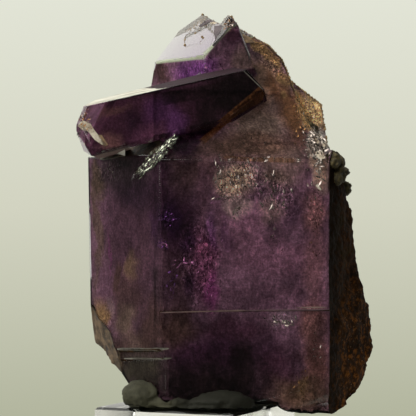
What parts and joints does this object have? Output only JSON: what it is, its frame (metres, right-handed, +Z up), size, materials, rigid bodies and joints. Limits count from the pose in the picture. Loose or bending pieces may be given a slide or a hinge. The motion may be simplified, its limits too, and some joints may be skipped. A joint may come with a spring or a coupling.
{
  "type": "skeletal amethyst point",
  "caption": "Skeletal amethyst point with a smaller crystal grown across it, set in putty on a clear acrylic block.",
  "frame": {"origin": "middle of the acrylic block's underside", "axes": "+Z up along the crystal's length, +X to the right seen from the front, +Y from the front to the back"},
  "size_m": [0.0589, 0.0426, 0.0912],
  "materials": {
    "acrylic": "polished clear acrylic",
    "putty": "dull olive grey mineral putty, pressed by hand",
    "amethyst": "see-through purple quartz with smoky zones, iron stains and rough broken sides"
  },
  "bodies": {
    "root": {"acrylic_base": "acrylic", "putty": "putty", "amethyst": "amethyst"}
  },
  "joints": []
}
